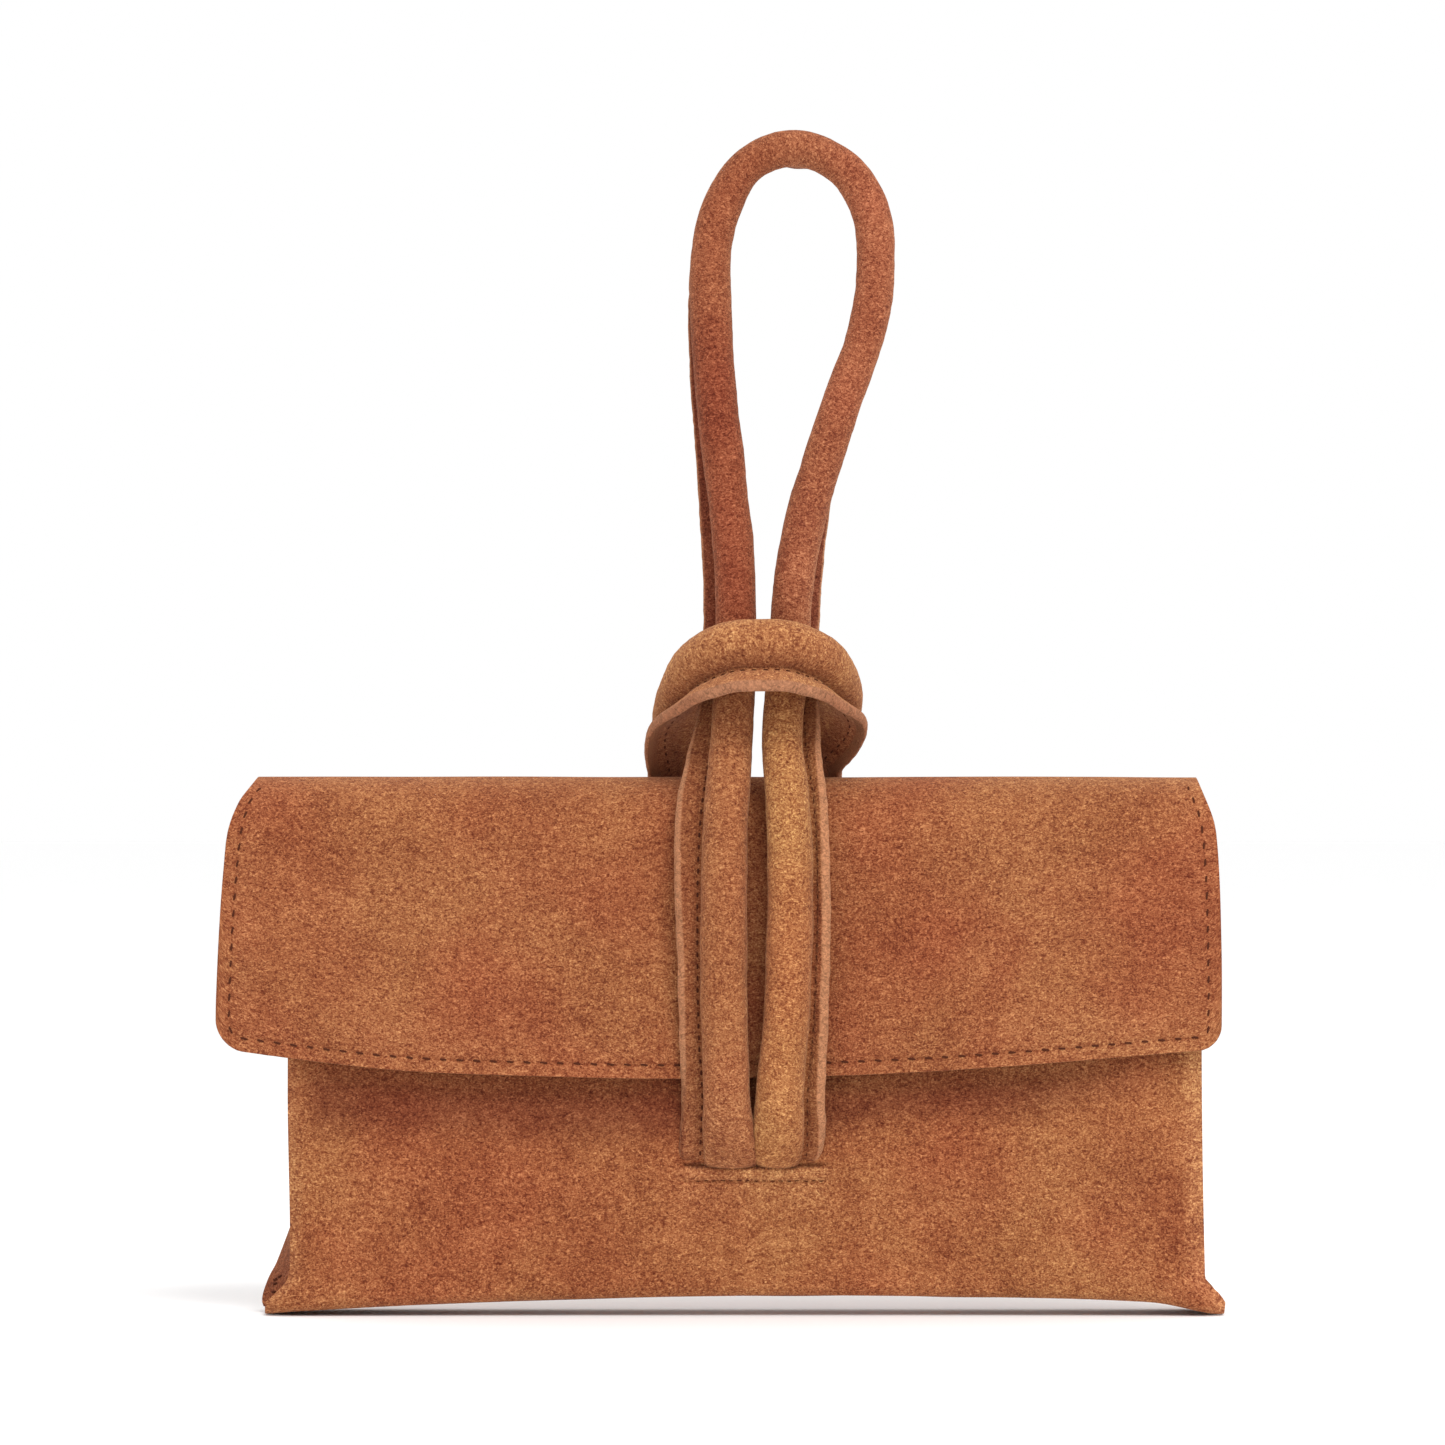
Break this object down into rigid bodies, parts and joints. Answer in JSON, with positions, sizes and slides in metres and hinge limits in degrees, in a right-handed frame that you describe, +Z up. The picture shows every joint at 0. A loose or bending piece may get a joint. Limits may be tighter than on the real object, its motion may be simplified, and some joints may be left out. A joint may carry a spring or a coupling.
{
  "type": "wristlet clutch wallet",
  "caption": "Soft suede wristlet clutch with a wide front flap, a padded teardrop wrist strap sewn into the front, and a padded collar that the strap passes through to hold the flap shut.",
  "frame": {"origin": "centre of the flat base, on the surface that the clutch stands on", "axes": "+Z up along the wrist strap, front with the flap towards -Y, width along X"},
  "size_m": [0.2614, 0.06, 0.3094],
  "materials": {
    "suede": "brushed suede nap, matt",
    "lining": "plain woven lining",
    "board": "non-woven stiffener",
    "padding": "soft cotton filler cord",
    "thread": "waxed thread"
  },
  "bodies": {
    "pouch": {"base_panel": "suede", "base_stiffener": "board", "base_lining": "lining", "corner_fold_left": "suede", "corner_fold_right": "suede", "gusset_left": "suede", "gusset_right": "suede", "gusset_lining_left": "lining", "gusset_lining_right": "lining", "back_panel": "suede", "back_stiffener": "board", "back_anchor_patch": "board", "back_lining": "lining", "slip_pocket": "lining", "collar_ends": "suede", "collar_slit_thread": "thread"},
    "front": {"front_panel": "suede", "front_stiffener": "board", "front_anchor_patch": "board", "front_lining": "lining", "strap_ends": "suede", "strap_slit_thread": "thread"},
    "flap": {"flap_panel": "suede", "flap_stiffener": "board", "flap_lining": "lining", "flap_fold": "suede", "fold_lining": "lining", "flap_thread": "thread"},
    "strap": {"strap_cover_left": "suede", "strap_cover_right": "suede", "strap_padding_left": "padding", "strap_padding_right": "padding", "strap_thread_left": "thread", "strap_thread_right": "thread"},
    "wrist_loop": {"loop_cover": "suede", "loop_padding": "padding", "loop_thread": "thread"},
    "collar": {"collar_cover": "suede", "collar_padding": "padding", "collar_thread": "thread"}
  },
  "joints": [
    {"name": "flap_hinge", "type": "hinge", "parent": "pouch", "child": "flap", "pos_m": [0, -0.00185, 0.138], "axis": [-1, 0, 0], "range_deg": [0, 160], "deforming": ["flap_fold", "fold_lining"]},
    {"name": "mouth_open", "type": "hinge", "parent": "pouch", "child": "front", "pos_m": [0, -0.0133, 0.0019], "axis": [1, 0, 0], "range_deg": [0, 12]},
    {"name": "strap_release", "type": "hinge", "parent": "front", "child": "strap", "pos_m": [0, -0.014, 0.0395], "axis": [1, 0, 0], "range_deg": [0, 88], "deforming": ["strap_cover_left", "strap_cover_right", "strap_padding_left", "strap_padding_right", "strap_thread_left", "strap_thread_right"]},
    {"name": "wrist_loop_flop", "type": "hinge", "parent": "strap", "child": "wrist_loop", "pos_m": [0, -0.012, 0.206], "axis": [-1, 0, 0], "range_deg": [-70, 70]},
    {"name": "collar_release", "type": "hinge", "parent": "pouch", "child": "collar", "pos_m": [0, 0.014, 0.0986], "axis": [-1, 0, 0], "range_deg": [0, 144], "deforming": ["collar_cover", "collar_padding", "collar_thread"]}
  ],
  "couplings": [
    {"joint": "mouth_open", "follows": "flap_hinge", "ratio": 0.07},
    {"joint": "strap_release", "follows": "flap_hinge", "ratio": 0.54},
    {"joint": "collar_release", "follows": "flap_hinge", "ratio": 0.89}
  ]
}
